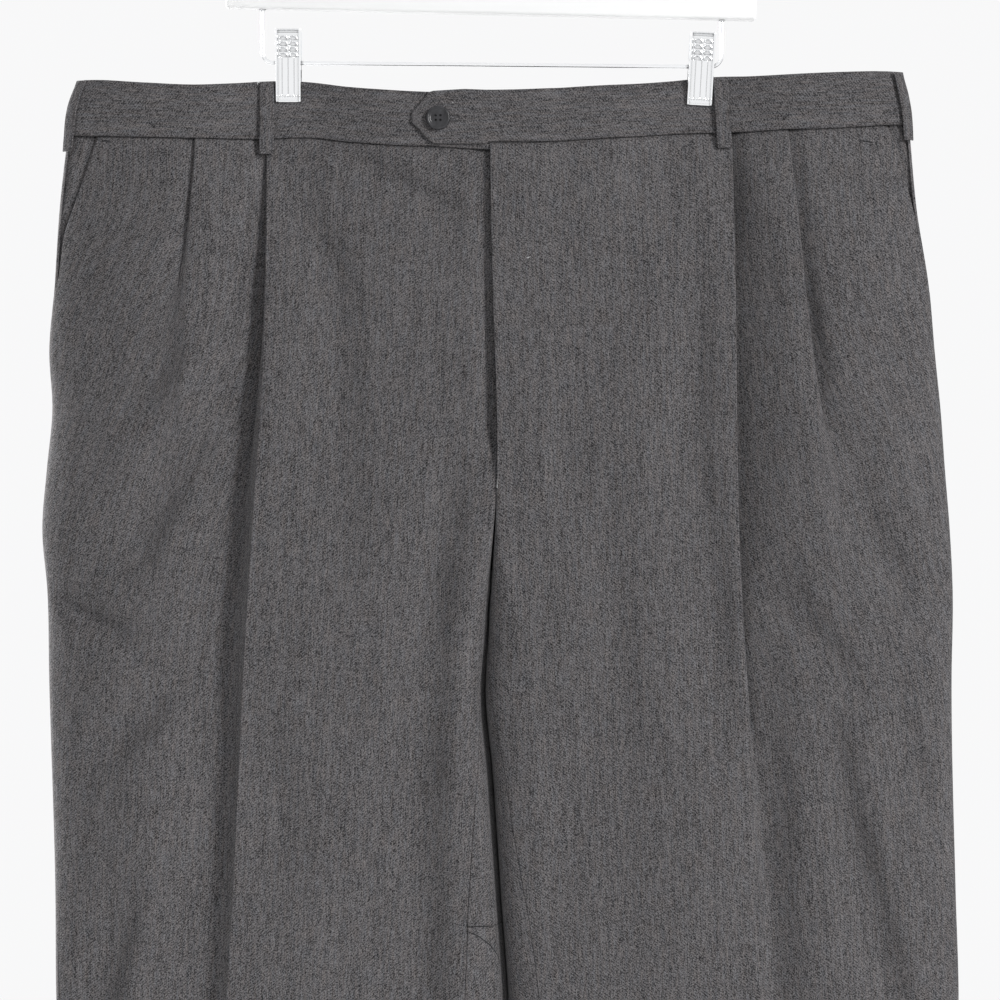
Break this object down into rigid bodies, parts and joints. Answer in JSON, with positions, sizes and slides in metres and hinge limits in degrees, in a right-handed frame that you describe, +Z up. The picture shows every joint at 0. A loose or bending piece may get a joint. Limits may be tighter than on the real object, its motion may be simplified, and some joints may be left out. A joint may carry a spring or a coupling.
{
  "type": "pleated dress trousers on a clip hanger",
  "caption": "Charcoal wool-blend pleated dress trousers with a pointed button tab, hung by the waistband from chrome clips under a white bar hanger.",
  "frame": {"origin": "inside of the hook's crown, where the hanger rests on a rail", "axes": "+Z up, the wearer's front faces -Y, the wearer's right is -X"},
  "size_m": [0.674, 0.0734, 1.2829],
  "materials": {
    "wool": "heathered charcoal worsted twill with fine vertical stria, matt",
    "horn": "dark grey marbled horn-effect resin, satin",
    "chrome": "bright chrome plate",
    "white_lacquer": "smooth white lacquer"
  },
  "bodies": {
    "root": {"front_right": "wool", "front_left": "wool", "back_right": "wool", "back_left": "wool", "fork_piece_right": "wool", "pocket_facing_right": "wool", "pocket_facing_left": "wool", "fly_shield": "wool", "waistband_right": "wool", "waistband_left": "wool", "belt_loop_front_right": "wool", "belt_loop_front_left": "wool", "belt_loop_side_right": "wool", "belt_loop_side_left": "wool", "belt_loop_back_right": "wool", "belt_loop_back_left": "wool", "belt_loop_centre_back": "wool", "button": "horn", "hanger_bar": "white_lacquer", "hanger_hook": "chrome", "trouser_rod": "chrome", "clip_right_front": "chrome", "clip_right_back": "chrome", "clip_right_spring": "chrome", "clip_left_front": "chrome", "clip_left_back": "chrome", "clip_left_spring": "chrome"}
  },
  "joints": []
}
